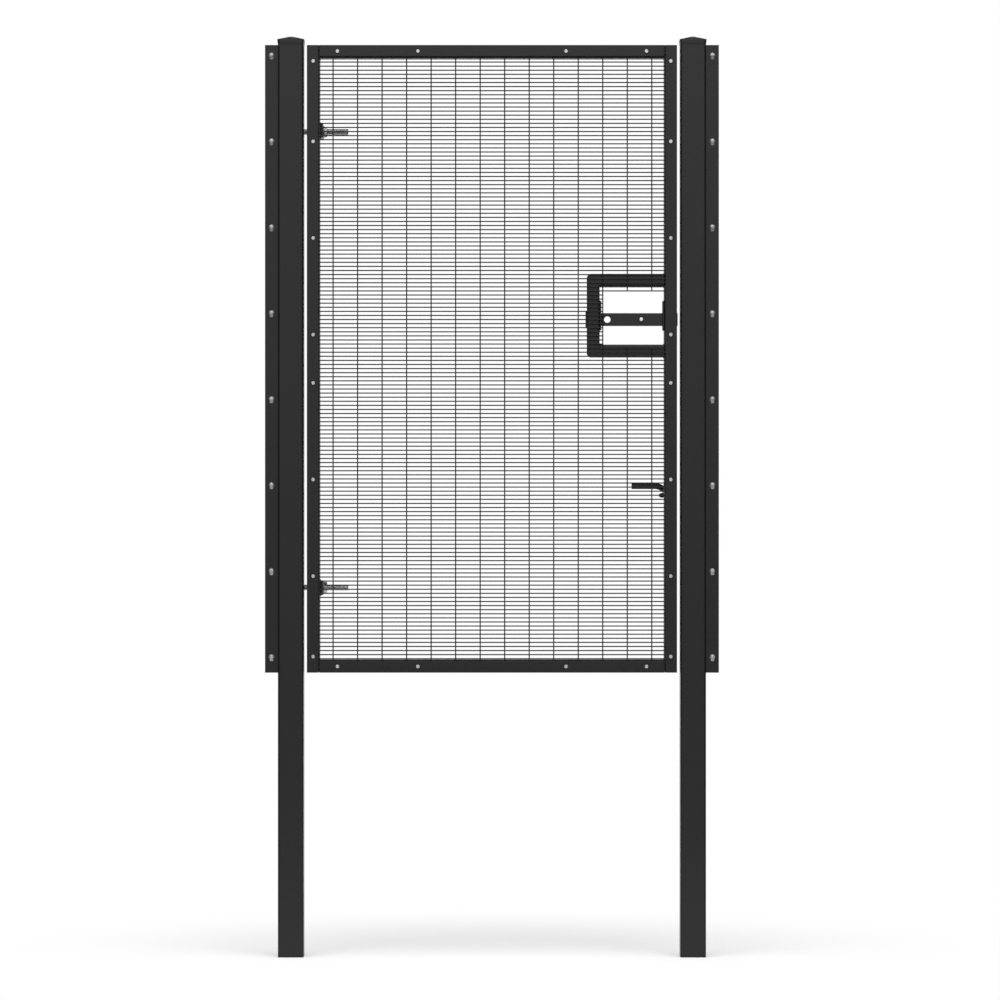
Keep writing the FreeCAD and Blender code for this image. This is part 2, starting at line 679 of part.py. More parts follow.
def build_slide_bolt():
    """A flat bar with a knob and a padlock hole, in its guide plates."""
    thick, deep, tall = (dim["GuideThick"], dim["LatchDepth"], dim["GuideHeight"])
    slotted_plate("slide_bolt_near_guide", latch_arm_right, thick, deep, tall, latch_z)
    slotted_plate("slide_bolt_far_guide", latch_stile_inner - thick, thick, deep, tall, latch_z)
    thick, deep, tall = (dim["CollarThick"], dim["CollarDepth"], dim["CollarHeight"])
    slotted_plate("slide_bolt_collar", collar_left, thick, deep, tall, bolt_z)
    length = leaf_right + dim["BoltReveal"] - collar_left
    bar = new_body("slide_bolt_bar")
    outline = new_sketch(bar, "slide_bolt_bar_outline", "XZ_Plane")
    rectangle(outline, "Bar", 0, -dim["BoltHeight"] / 2, length, dim["BoltHeight"] / 2)
    circle(outline, "Lock", dim["LockHoleAt"], 0, dim["LockHole"])
    pad(bar, outline, "slide_bolt_bar_thickness", dim["BoltDepth"], symmetric=True)
    upright = edges_along(bar, UP)
    tip = [edge for edge in upright if bar.Shape.getElement(edge).Vertexes[0].X > plain(length) / 2]
    round_edges(bar, "slide_bolt_bar_tip", tip, dim["BoltChamfer"], kind="Chamfer")
    place(bar, collar_left, bolt_y, bolt_z)
    keep(bar, "slide_bolt_bar")
    knob = new_body("slide_bolt_knob")
    face = new_sketch(knob, "slide_bolt_knob_face", "XZ_Plane")
    circle(face, "Knob", 0, 0, dim["KnobSize"])
    pad(knob, face, "slide_bolt_knob_length", dim["KnobLength"])
    edges = enumerate(knob.Shape.Edges, start=1)
    front = [f"Edge{index}" for index, edge in edges if front_rim(edge, dim["KnobLength"])]
    round_edges(knob, "slide_bolt_knob_bevel", front, dim["KnobBevel"], kind="Chamfer")
    place(knob, collar_left + dim["KnobAt"], bolt_y - dim["BoltDepth"] / 2, bolt_z)
    keep(knob, "slide_bolt_knob")


def front_rim(edge, length):
    return edge.Curve.TypeId == "Part::GeomCircle" and abs(edge.CenterOfMass.y + plain(length)) < 0.001


def build_hinges():
    """At each hinge: a bracket with a pin behind the post, and an adjustable eye bolt on the leaf.

    The bottom pin stands up and the top one hangs down, so that the leaf can't be lifted off.
    """
    for word, z, sign in (
        ("top", leaf_top - dim["HingeInset"], 1),
        ("bottom", leaf_bottom + dim["HingeInset"], -1),
    ):
        build_bracket(word, z, sign)
        build_eye_bolt(word, z)
        build_lug(word, z)
        build_nuts(word, z)


def build_bracket(word, z, sign):
    """A rounded plate welded to the back of the hinge post, and the pin that it holds."""
    name = f"{word}_hinge_bracket"
    half = dim["BracketWidth"] / 2
    plate = new_body(name)
    outline = new_sketch(plate, f"{name}_outline", "XY_Plane")
    rectangle(outline, "Root", -half, -dim["HingeSetback"], half, 0)
    pad(plate, outline, f"{name}_root", dim["BracketThick"])
    nose = new_sketch(plate, f"{name}_nose_outline", "XY_Plane")
    circle(nose, "Nose", 0, 0, dim["BracketWidth"])
    pad(plate, nose, f"{name}_nose", dim["BracketThick"])
    face = z + (dim["EyeHeight"] / 2 + dim["EyeSeat"]) * sign
    low = face if sign > 0 else face - dim["BracketThick"]
    place(plate, hinge_x, hinge_y, low)
    keep(plate, name)
    pin_length = dim["EyeSeat"] + dim["EyeHeight"] + dim["PinCrown"]
    pin = doc.addObject("Part::Cylinder", f"{word}_hinge_pin")
    bind(pin, "Radius", dim["PinSize"] / 2)
    bind(pin, "Height", pin_length)
    place(pin, hinge_x, hinge_y, face - pin_length if sign > 0 else face)
    keep(pin, f"{word}_hinge_pin")


def build_eye_bolt(word, z):
    """An eye round the pin, with a shank that carries the thread."""
    name = f"{word}_eye_bolt"
    bolt = new_body(name)
    ring = new_sketch(bolt, f"{name}_ring", "XY_Plane")
    circle(ring, "Eye", 0, 0, dim["EyeSize"])
    pad(bolt, ring, f"{name}_eye", dim["EyeHeight"], symmetric=True)
    for part_name, size, length in (
        ("shank", dim["ShankSize"], dim["ShankLength"]),
        ("stud", dim["StudSize"], dim["StudLength"]),
    ):
        end = new_sketch(bolt, f"{name}_{part_name}_end", "YZ_Plane")
        if part_name == "stud":
            bind(end, ".AttachmentOffset.Base.z", dim["ShankLength"])
            length = dim["StudLength"] - dim["ShankLength"]
        circle(end, "Bar", 0, 0, size)
        pad(bolt, end, f"{name}_{part_name}", length)
    bore = new_sketch(bolt, f"{name}_bore_outline", "XY_Plane")
    circle(bore, "Bore", 0, 0, dim["PinSize"] + dim["PinFit"] * 2)
    cut_through(bolt, bore, f"{name}_bore")
    place(bolt, hinge_x, hinge_y, z)
    keep(bolt, name)


def build_lug(word, z):
    """A thick plate welded inside the stile, that the threaded end passes through."""
    name = f"{word}_hinge_lug"
    half = dim["LugHeight"] / 2
    lug = new_body(name)
    outline = new_sketch(lug, f"{name}_outline", "YZ_Plane")
    reach_in = hinge_y - frame_back + dim["LugHold"]
    rectangle(outline, "Plate", -reach_in, -half, dim["LugEdge"], half)
    circle(outline, "Hole", 0, 0, dim["StudSize"] + dim["LugFit"] * 2)
    pad(lug, outline, f"{name}_thickness", dim["LugThick"])
    back = [edge for edge in edges_along(lug, ACROSS) if lug.Shape.getElement(edge).Vertexes[0].Y > 0]
    round_edges(lug, f"{name}_corners", back, dim["LugEdge"] / 2)
    place(lug, leaf_left + dim["FrameFace"], hinge_y, z)
    keep(lug, name)


def build_nuts(word, z):
    """A nut on each side of the lug."""
    name = f"{word}_hinge_nuts"
    nuts = []
    lug_x = leaf_left + dim["FrameFace"]
    flats_up = FreeCAD.Rotation(DEEP, 90) * FreeCAD.Rotation(UP, 30)
    for side, x in (("outer", lug_x - dim["NutThick"]), ("inner", lug_x + dim["LugThick"])):
        body = doc.addObject("Part::Prism", f"{name}_{side}_hexagon")
        body.Polygon = 6
        bind(body, "Circumradius", dim["NutFlats"] / math.sqrt(3))
        bind(body, "Height", dim["NutThick"])
        thread = doc.addObject("Part::Cylinder", f"{name}_{side}_thread")
        bind(thread, "Radius", dim["StudSize"] / 2)
        bind(thread, "Height", dim["NutThick"])
        nut = doc.addObject("Part::Cut", f"{name}_{side}")
        nut.Base = body
        nut.Tool = thread
        nut.Placement = FreeCAD.Placement(FreeCAD.Vector(0, 0, 0), flats_up)
        nuts.append(place(nut, x, hinge_y, z))
    keep(group(name, nuts), name)


def build_drop_bolt():
    """A round rod with a bent handle, raised behind the latch stile, and its three guides."""
    name = "drop_bolt_rod"
    bend = dim["HandleBend"]
    tip_z = leaf_bottom + dim["RodTipRise"]
    arm_z = leaf_bottom + dim["HandleHeight"] - tip_z
    bar = new_body(name)
    end = new_sketch(bar, f"{name}_end", "XY_Plane")
    circle(end, "Rod", 0, 0, dim["RodSize"])
    path = new_sketch(bar, f"{name}_path", "XZ_Plane")
    bend_path(path, bend, arm_z, dim["HandleReach"])
    pipe = bar.newObject("PartDesign::AdditivePipe", f"{name}_pipe")
    pipe.Profile = end
    pipe.Spine = path
    doc.recompute()
    place(bar, rod_x, rod_y, tip_z)
    keep(bar, name)
    for word, height in (("middle", dim["MiddleGuide"]), ("bottom", dim["LowGuide"])):
        guide_plate(f"drop_bolt_{word}_guide", height, dim["RodSize"] + dim["RodFit"] * 2)
    handle_keep()


def bend_path(path, bend, arm_z, reach):
    """Up the rod, round the bend and out along the handle."""
    up = FreeCAD.Vector(0, plain(arm_z - bend), 0)
    middle = FreeCAD.Vector(-plain(bend), plain(arm_z - bend), 0)
    out = FreeCAD.Vector(-plain(bend), plain(arm_z), 0)
    far = FreeCAD.Vector(-plain(reach), plain(arm_z), 0)
    path.addGeometry(Part.LineSegment(FreeCAD.Vector(0, 0, 0), up), False)
    turn = Part.ArcOfCircle(Part.Circle(middle, FreeCAD.Vector(0, 0, 1), plain(bend)), 0, math.pi / 2)
    path.addGeometry(turn, False)
    path.addGeometry(Part.LineSegment(out, far), False)
    path.addConstraint(Sketcher.Constraint("Coincident", -1, 1, 0, 1))
    path.addConstraint(Sketcher.Constraint("Vertical", 0))
    path.addConstraint(Sketcher.Constraint("Tangent", 0, 2, 1, 1))
    path.addConstraint(Sketcher.Constraint("Tangent", 1, 2, 2, 1))
    path.addConstraint(Sketcher.Constraint("Horizontal", 2))
    dimension(path, "Bend", "Radius", 1, size=bend)
    dimension(path, "ArmHeight", "DistanceY", -1, 1, 2, 2, size=arm_z)
    dimension(path, "ArmReach", "DistanceX", -1, 1, 2, 2, size=-reach)


def guide_plate(name, height, hole):
    """A level plate behind the stile with a hole for the rod."""
    edge = dim["RodSize"] / 2 + dim["GuideMargin"]
    plate = new_body(name)
    outline = new_sketch(plate, f"{name}_outline", "XY_Plane")
    rectangle(outline, "Plate", -edge, -dim["RodSetback"], edge, edge)
    circle(outline, "Hole", 0, 0, hole)
    pad(plate, outline, f"{name}_thickness", dim["KeepThick"])
    back = [line for line in edges_along(plate, UP) if plate.Shape.getElement(line).Vertexes[0].Y > 0]
    round_edges(plate, f"{name}_corners", back, dim["GuideMargin"] / 2)
    place(plate, rod_x, rod_y, leaf_bottom + height)
    keep(plate, name)


def handle_keep():
    """The top guide, open on one side so that the handle can drop through it."""
    name = "drop_bolt_top_guide"
    edge = dim["RodSize"] / 2 + dim["KeepMargin"]
    half_slot = dim["RodSize"] / 2 + dim["HandleSlack"]
    reach = dim["KeepReach"]
    plate = new_body(name)
    outline = new_sketch(plate, f"{name}_outline", "XY_Plane")
    rectangle(outline, "Plate", -reach, -dim["RodSetback"], edge, edge)
    pad(plate, outline, f"{name}_thickness", dim["KeepThick"])
    back = [line for line in edges_along(plate, UP) if plate.Shape.getElement(line).Vertexes[0].Y > 0]
    round_edges(plate, f"{name}_corners", back, dim["KeepMargin"] / 2)
    seat = new_sketch(plate, f"{name}_seat", "XY_Plane")
    circle(seat, "Seat", 0, 0, half_slot * 2)
    cut_through(plate, seat, f"{name}_seat_cut")
    mouth = new_sketch(plate, f"{name}_mouth", "XY_Plane")
    rectangle(mouth, "Mouth", -reach - dim["KeepMargin"], -half_slot, 0, half_slot)
    cut_through(plate, mouth, f"{name}_mouth_cut")
    place(plate, rod_x, rod_y, leaf_bottom + dim["HandleHeight"] - dim["KeepDrop"] - dim["KeepThick"] / 2)
    keep(plate, name)


def check_and_write():
    """Refuse to write if anything failed, then write one STEP file for each named piece."""
    doc.recompute()
    for thing in doc.Objects:
        if "Invalid" in thing.State or "Error" in thing.State:
            raise RuntimeError(f"{thing.Label} failed: {thing.State}")
    os.makedirs("parts", exist_ok=True)
    for node in NODES:
        if node.Shape.isNull() or not node.Shape.isValid():
            raise RuntimeError(f"{node.Label} has no valid shape")
        node.Shape.exportStep(f"parts/{node.Label}.step")
        print(f"{node.Label}: {len(node.Shape.Solids)} solid, {node.Shape.Volume / 1000:.1f} cm3")
    print(f"{len(NODES)} pieces")


build_posts()
build_fence_strips()
build_leaf_frame()
build_clamp_bars()
build_mesh()
build_latch_frame()
build_slide_bolt()
build_hinges()
build_drop_bolt()
check_and_write()
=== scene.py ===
# %% [markdown]
# # A steel mesh gate, dressed from its CAD frame
# The CAD model already holds every tube, plate and pin in its true place, in metres.
# It is loaded first and never moved, and everything that Blender adds is fitted to it.

# %% Load the frame
import json
import math

import bmesh
import bpy
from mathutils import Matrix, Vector


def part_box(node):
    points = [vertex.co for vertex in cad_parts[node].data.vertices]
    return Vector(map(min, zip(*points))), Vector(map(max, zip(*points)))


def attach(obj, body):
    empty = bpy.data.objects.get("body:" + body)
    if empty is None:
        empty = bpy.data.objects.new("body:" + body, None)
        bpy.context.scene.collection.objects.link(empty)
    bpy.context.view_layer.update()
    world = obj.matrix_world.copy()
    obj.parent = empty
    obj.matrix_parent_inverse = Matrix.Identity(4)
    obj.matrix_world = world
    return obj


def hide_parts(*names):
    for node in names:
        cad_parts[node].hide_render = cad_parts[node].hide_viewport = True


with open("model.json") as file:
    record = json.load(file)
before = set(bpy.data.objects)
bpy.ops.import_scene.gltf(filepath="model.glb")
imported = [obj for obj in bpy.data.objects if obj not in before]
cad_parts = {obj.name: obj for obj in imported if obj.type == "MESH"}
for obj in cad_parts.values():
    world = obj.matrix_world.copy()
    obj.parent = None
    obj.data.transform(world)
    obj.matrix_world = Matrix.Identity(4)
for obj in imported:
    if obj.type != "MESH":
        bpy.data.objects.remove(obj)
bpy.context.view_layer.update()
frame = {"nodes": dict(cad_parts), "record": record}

nodes = frame["nodes"]
print("pieces in the frame:", len(nodes))

# %% [markdown]
# ## Writing shader maths as plain sums
# A finish is a small graph of nodes, which is hard to read when it is wired one link at a time.
# Python lets a class say what its own `+` and `*` do, so one class can hold a socket
# and turn `a * b` into a Math node.
# This way was chosen because the formulas below then read like the idea behind each finish.
# Every other node comes from the one method `add`, which sets its options first and its sockets second.

# %% A socket that can be added and multiplied
class Flow:
    """A socket of a material that is being made."""

    def __init__(self, tree, socket=None):
        self.tree = tree
        self.socket = socket

    def add(self, kind, settings=None, sockets=None, out=0):
        """Add any node: its options are set first, then the values or links of its sockets."""
        node = self.tree.nodes.new("ShaderNode" + kind)
        for name, value in (settings or {}).items():
            if name == "stops":
                self.fill_ramp(node.color_ramp, value)
            else:
                setattr(node, name, value)
        for name, value in (sockets or {}).items():
            if isinstance(value, Flow):
                self.tree.links.new(value.socket, node.inputs[name])
            else:
                node.inputs[name].default_value = value
        return Flow(self.tree, node.outputs[out])

    @staticmethod
    def fill_ramp(ramp, stops):
        """Give a colour ramp its stops, as (place, grey) pairs."""
        while len(ramp.elements) < len(stops):
            ramp.elements.new(0.5)
        for element, (place, grey) in zip(ramp.elements, stops):
            element.position = place
            element.color = (grey, grey, grey, 1)

    def maths(self, operation, first, second):
        return self.add("Math", {"operation": operation}, {0: first, 1: second})

    def __add__(self, other):
        return self.maths("ADD", self, other)

    def __radd__(self, other):
        return self.maths("ADD", other, self)

    def __sub__(self, other):
        return self.maths("SUBTRACT", self, other)

    def __rsub__(self, other):
        return self.maths("SUBTRACT", other, self)

    def __mul__(self, other):
        return self.maths("MULTIPLY", self, other)

    def __rmul__(self, other):
        return self.maths("MULTIPLY", other, self)

    def mix(self, first, second):
        """Blend two colours by this value."""
        sockets = {"Factor": self, "A": first, "B": second}
        return self.add("Mix", {"data_type": "RGBA"}, sockets, out="Result")


print("operators ready:", [name for name in vars(Flow) if name.startswith("__r")])


# %% Start a material
def new_material(name):
    """An empty material: its flow, its surface shader, and places on the object in metres."""
    material = bpy.data.materials.new(name)
    material.use_nodes = True
    tree = material.node_tree
    shader = next(node for node in tree.nodes if node.type == "BSDF_PRINCIPLED")
    flow = Flow(tree)
    place = flow.add("TexCoord", out="Object")
    return material, flow, shader, place


def connect(flow, shader, links):
    """Link flows to the shader's sockets, by name."""
    for name, value in links.items():
        flow.tree.links.new(value.socket, shader.inputs[name])


def noise(flow, place, scale, detail):
    """Smooth noise. Its scale is the number of grains to a metre."""
    sockets = {"Vector": place, "Scale": scale, "Detail": detail, "Roughness": 0.5}
    return flow.add("TexNoise", {"noise_dimensions": "3D"}, sockets)


def bump(flow, height, strength, depth):
    """Turn heights from 0 to 1 into relief that is depth metres deep."""
    return flow.add("Bump", None, {"Height": height, "Strength": strength, "Distance": depth})


print("helpers ready:", [helper.__name__ for helper in (new_material, connect, noise, bump)])

# %% [markdown]
# ## The powder coat
# The steel is galvanised and then coated with a black polyester powder that melts in an oven.
# The film is matt, and never quite flat: it has a fine ripple like the skin of an orange.
# It could be a single dark grey, but a flat colour looks like plastic in any light.
# So the ripple is relief from fine noise, the shine varies a little,
# and a trace of dust lies on faces that look up.

# %% Black powder coat
FILM_DARK = (0.0050, 0.0050, 0.0053, 1)
FILM_LIGHT = (0.0085, 0.0085, 0.0088, 1)
DUST = (0.055, 0.053, 0.050, 1)
MOST_DUST = 0.06
FILM_RELIEF = 0.00016


def powder_coat(name, polish=0.0):
    """Matt black coating. Polish from 0 to 1 makes it smoother, where other steel rubs on it."""
    material, flow, shader, place = new_material(name)
    cloud = noise(flow, place, 5.0, detail=3.0)
    grain = noise(flow, place, 260.0, detail=1.0)
    ripple = noise(flow, place, 620.0, detail=2.0)
    normal = flow.add("NewGeometry", out="Normal")
    facing_up = flow.add("SeparateXYZ", None, {"Vector": normal}, out="Z")
    clamped = {"operation": "MULTIPLY", "use_clamp": True}
    lying = flow.add("Math", clamped, {0: facing_up, 1: MOST_DUST})
    dusty = lying * (0.2 + 0.8 * grain)
    film = cloud.mix(FILM_DARK, FILM_LIGHT)
    colour = dusty.mix(film, DUST)
    shine = 0.30 - 0.12 * polish + 0.08 * cloud + 0.06 * grain + 0.15 * dusty
    relief = bump(flow, ripple, 0.30 * (1 - polish), FILM_RELIEF)
    connect(flow, shader, {"Base Color": colour, "Roughness": shine, "Normal": relief})
    shader.inputs["Specular IOR Level"].default_value = 0.34
    return material


coat = powder_coat("powder_coat_black")
rubbed_coat = powder_coat("powder_coat_rubbed", polish=0.7)
print("coat nodes:", len(coat.node_tree.nodes))

# %% [markdown]
# ## Bright zinc
# The bolts, nuts and hinge studs are zinc-plated steel, left bare so that they can be turned and greased.
# Plating is a metal, so its colour is in its reflections. It could be a plain grey metal,
# but faint clouds in its colour and shine stop it looking like chrome.
# There are three, which differ in shine and in lightness: polished for the knob and the studs,
# bright for the eyes, pins, bolts and nuts, and dull for the domed nuts and tab washers on the strips.
# The polished copy is lighter, a painted light, and the dull copy is darker, a painted shade.

# %% Zinc plating
ZINC_RELIEF = 0.00008


def zinc_plating(name, light, dark, base_shine):
    """Bare plating whose colour drifts between light and dark."""
    material, flow, shader, place = new_material(name)
    cloud = noise(flow, place, 55.0, detail=3.0)
    speck = noise(flow, place, 900.0, detail=2.0)
    tone = flow.add("ValToRGB", {"stops": [(0.30, 0.0), (0.70, 1.0)]}, {"Fac": cloud})
    colour = tone.mix(dark, light)
    shine = base_shine + 0.16 * cloud + 0.08 * speck
    relief = bump(flow, speck, 0.20, ZINC_RELIEF)
    connect(flow, shader, {"Base Color": colour, "Roughness": shine, "Normal": relief})
    shader.inputs["Metallic"].default_value = 1.0
    return material


# The lighter polished copy is painted light and the darker dull copy is painted shade; their shine differs
# too.
polished_painted_light_zinc = zinc_plating("zinc_polished_painted_light", (0.78, 0.79, 0.80, 1), (0.66, 0.67, 0.69, 1), 0.24)
zinc = zinc_plating("zinc_bright", (0.58, 0.59, 0.60, 1), (0.46, 0.47, 0.48, 1), 0.30)
dull_painted_shade_zinc = zinc_plating("zinc_dull_painted_shade", (0.52, 0.52, 0.53, 1), (0.40, 0.40, 0.41, 1), 0.46)
print("zinc ready:", polished_painted_light_zinc.name, zinc.name, dull_painted_shade_zinc.name)

# %% [markdown]
# ## Finishes on the frame's own pieces
# Each CAD piece carries the name of its finish in the record, so the finishes are dealt out by that name.
# They could be picked piece by piece, but one table can't forget a piece.
# The tubes and posts keep their CAD meshes. Most other pieces are stood in for further on.

# %% Dress the CAD pieces
finishes = {"powder_coat": coat, "zinc": zinc}
slots = {part["node"]: part["material_slot"] for part in frame["record"]["subparts"]}
for name, piece in nodes.items():
    piece.data.materials.clear()
    piece.data.materials.append(finishes[slots[name]])
print("dressed:", sum(slot == "zinc" for slot in slots.values()), "in zinc of", len(slots))


# %% [markdown]
# ## Helpers for making meshes
# Every added piece is made of faces that are worked out here, so that its size is exact.
# A rod could be a curve with a round bevel, and a bolt a scaled cylinder,
# but then hundreds of them are slow.
# One list of corners and one list of faces for a whole row of wires or bolts is fast and exports cleanly.

# %% Turn points and faces into a piece
class Maker:
    """Collects corners and faces, then makes one piece of them."""

    def __init__(self):
        self.points = []
        self.faces = []

    def include(self, points, faces):
        start = len(self.points)
        self.points.extend(tuple(point) for point in points)
        self.faces.extend(tuple(start + corner for corner in face) for face in faces)

    def finish(self, name, body, material, slot, smooth=35):
        """Make the piece, smooth its shallow edges and let it ride on a body of the frame."""
        mesh = bpy.data.meshes.new(name)
        mesh.from_pydata(self.points, [], self.faces)
        mesh.materials.append(material)
        mesh.validate()
        piece = bpy.data.objects.new(name, mesh)
        bpy.context.scene.collection.objects.link(piece)
        mesh.shade_smooth()
        mesh.set_sharp_from_angle(angle=math.radians(smooth))
        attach(piece, body)
        print(f"{name}: {len(self.faces)} faces")
        return piece


# %% Rings of points
def square_to(along):
    """Two directions at right angles to a line and to each other."""
    along = Vector(along).normalized()
    if abs(along.z) > 0.9:
        start = along.orthogonal().normalized()
    else:
        start = along.cross(Vector((0, 0, 1))).normalized()
    return start, along.cross(start)


def ring(centre, along, radius, sides, turn=0.0):
    """Points evenly round a line through a centre."""
    start, other = square_to(along)
    points = []
    for step in range(sides):
        angle = turn + 2 * math.pi * step / sides
        points.append(Vector(centre) + radius * (math.cos(angle) * start + math.sin(angle) * other))
    return points


def skin(maker, rings, loop=False):
    """Join rings of equal size: a rod with filled ends, or a loop whose last ring meets its first."""
    sides = len(rings[0])
    faces = []
    for level in range(len(rings) if loop else len(rings) - 1):
        low, high = level * sides, (level + 1) % len(rings) * sides
        for step in range(sides):
            following = (step + 1) % sides
            faces.append((low + step, low + following, high + following, high + step))
    if not loop:
        faces.append(tuple(reversed(range(sides))))
        faces.append(tuple(range((len(rings) - 1) * sides, len(rings) * sides)))
    maker.include([point for one in rings for point in one], faces)


def lathe(maker, foot, along, profile, sides=24):
    """Turn a profile of (height, radius) pairs round a line that starts at foot."""
    foot = Vector(foot)
    along = Vector(along).normalized()
    skin(maker, [ring(foot + along * height, along, radius, sides) for height, radius in profile])


print("a ring of four:", [tuple(round(v, 1) for v in point) for point in ring((0, 0, 0), (1, 0, 0), 1, 4)])

# %% [markdown]
# ## Softened edges
# Real flat bar has rolled edges and every cut edge is broken with a file before coating.
# A perfectly sharp edge never catches light, so it gives a model away.
# The CAD piece could be rounded in the CAD, but that would cost it many facets
# that physics doesn't need.
# So the plates are copied, their flat faces joined again, and each sharp edge gets a small round bevel.
# A weighted normal keeps the large faces flat beside the bevels.

# %% Break the edges of a CAD piece
SHARP_EDGE = math.radians(40)


def soften(name, body, width, material=None, segments=2):
    """A copy of a CAD piece with its sharp edges rounded, which stands for that piece."""
    shape = bmesh.new()
    shape.from_mesh(nodes[name].data)
    bmesh.ops.remove_doubles(shape, verts=shape.verts, dist=1e-6)
    bmesh.ops.dissolve_limit(shape, angle_limit=math.radians(1), verts=shape.verts, edges=shape.edges)
    folds = [edge for edge in shape.edges if edge.is_manifold]
    sharp = [edge for edge in folds if edge.calc_face_angle() > SHARP_EDGE]
    bmesh.ops.bevel(shape, geom=sharp, offset=width, offset_type="OFFSET", segments=segments,
                    profile=0.5, affect="EDGES", clamp_overlap=True)
    mesh = bpy.data.meshes.new(f"{name}_softened")
    shape.to_mesh(mesh)
    shape.free()
    slot = slots[name]
    mesh.materials.clear()
    mesh.materials.append(material or finishes[slot])
    mesh.shade_smooth()
    mesh.set_sharp_from_angle(angle=math.radians(35))
    piece = bpy.data.objects.new(f"{name}_softened", mesh)
    bpy.context.scene.collection.objects.link(piece)
    piece.modifiers.new("flat_faces", "WEIGHTED_NORMAL").keep_sharp = True
    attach(piece, body)
    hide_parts(name)


plates = [
    ("posts", 0.0009, ["hinge_post_strip", "latch_post_strip", "hinge_post_flange", "latch_post_flange"]),
    ("posts", 0.0010, ["top_hinge_bracket", "bottom_hinge_bracket"]),
    ("posts", 0.0012, ["top_hinge_pin", "bottom_hinge_pin"]),
    ("leaf", 0.0009, ["hinge_clamp_bar", "latch_clamp_bar", "top_clamp_bar", "bottom_clamp_bar"]),
    ("leaf", 0.0007, ["slide_bolt_near_guide", "slide_bolt_far_guide", "slide_bolt_collar"]),
    ("leaf", 0.0010, ["top_hinge_lug", "bottom_hinge_lug"]),
    ("leaf", 0.0009, ["drop_bolt_middle_guide", "drop_bolt_bottom_guide", "drop_bolt_top_guide"]),
]
for body, width, names in plates:
    for name in names:
        soften(name, body, width)
soften("slide_bolt_bar", "slide_bolt", 0.0008, rubbed_coat)
soften("drop_bolt_rod", "drop_bolt", 0.0015, rubbed_coat, segments=3)
print("softened pieces:", sum(len(names) for body, width, names in plates) + 2)

# %% [markdown]
# ## Post caps
# A cap is pressed over each post's end to keep rain out. Its skirt draws in until it hugs the post,
# so that no ledge shows from the front, and its top is a shallow pyramid that sheds water.
# A cube that is tapered and bevelled would come close.
# Rings of a rounded square give every level its own width,
# and one closed loop of them makes a thin hollow shell like the real pressing.

# %% Shape the caps
PLAY = 0.0001
EAVES_RISE = 0.002


def rounded_square(centre, half, corner, steps=6):
    """Points round a level square with rounded corners."""
    flat = half - corner
    points = []
    for quarter, (right, back) in enumerate([(1, 1), (-1, 1), (-1, -1), (1, -1)]):
        for step in range(steps + 1):
            angle = math.pi / 2 * (quarter + step / steps)
            across = flat * right + corner * math.cos(angle)
            along = flat * back + corner * math.sin(angle)
            points.append(Vector(centre) + Vector((across, along, 0)))
    return points


for side in ("hinge", "latch"):
    low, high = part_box(f"{side}_post_cap")
    post_low, post_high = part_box(f"{side}_post")
    x = (low.x + high.x) / 2
    half = (high.x - low.x) / 2
    post_half = (post_high.x - post_low.x) / 2
    eaves = post_high.z + EAVES_RISE
    # Each level of the shell, from the inside out: its height, half width and corner radius.
    shell = [
        (post_high.z + PLAY, post_half + PLAY, 0.0081),
        (low.z, post_half + PLAY, 0.0081),
        (low.z, post_half + 0.0005, 0.0085),
        (eaves - 0.0012, half, 0.0100),
        (eaves - 0.0003, half - 0.0002, 0.0098),
        (eaves + 0.0002, half - 0.0012, 0.0088),
        (high.z, 0.0040, 0.0010),
    ]
    maker = Maker()
    skin(maker, [rounded_square((x, 0.0, z), reach, corner) for z, reach, corner in shell])
    cap = maker.finish(f"{side}_post_cap_pressed", "posts", coat, "powder_coat", smooth=30)
    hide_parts(f"{side}_post_cap")

# %% [markdown]
# ## The welded mesh
# Anti-climb mesh is 4 mm wire, welded where it crosses: level wires every 12.7 mm,
# uprights every 76.2 mm. The gaps are too low for a toe or a finger.
# In the CAD the wires are square bars, to keep it light.
# Here they are round, with their middles where the bars' middles are.
# Each could be a cylinder of its own, but so many separate pieces are slow to handle,
# so all the wires in a band are one mesh, with the level wires in front.
# The latch window is cut flush with a level wire above and below it.

# %% Measure the wires
WIRE = 0.004
WIRE_SIDES = 10
RUNG_PITCH = 0.0127
UPRIGHT_PITCH = 0.0762
bands = {band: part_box(f"mesh_{band}_rungs") for band in ("upper", "middle", "lower")}
upper_low, upper_high = bands["upper"]
middle_low, middle_high = bands["middle"]
lower_low, lower_high = bands["lower"]
# A band is two bars deep: the rungs in front and the uprights behind them.
half_bar = (upper_high.y - upper_low.y) / 4
rung_y = upper_low.y + half_bar
upright_y = upper_high.y - half_bar
print("rungs lie at y", round(rung_y, 4), "and uprights at y", round(upright_y, 4))

# %% Level wires
LIP = 0.0006
# A share of the pitch, so that a wire on the very edge of its band still counts.
SLACK = 0.01


def wire(maker, start, end):
    """One straight wire with slightly rounded ends."""
    start, end = (Vector(start), Vector(end))
    along = (end - start).normalized()
    stations = [
        (start, WIRE / 2 - LIP),
        (start + along * LIP, WIRE / 2),
        (end - along * LIP, WIRE / 2),
        (end, WIRE / 2 - LIP),
    ]
    skin(maker, [ring(centre, along, radius, WIRE_SIDES) for centre, radius in stations])


top_rung = upper_high.z - half_bar
rungs = []
for band, (low, high) in bands.items():
    maker = Maker()
    first = math.ceil((top_rung - high.z) / RUNG_PITCH - SLACK)
    last = math.floor((top_rung - low.z) / RUNG_PITCH + SLACK)
    for step in range(first, last + 1):
        z = top_rung - RUNG_PITCH * step
        wire(maker, (low.x, rung_y, z), (high.x, rung_y, z))
        rungs.append((low.x, high.x, z))
    piece = maker.finish(f"mesh_{band}_level_wires", "leaf", coat, "powder_coat")
    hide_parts(f"mesh_{band}_rungs")
print("level wires:", len(rungs))

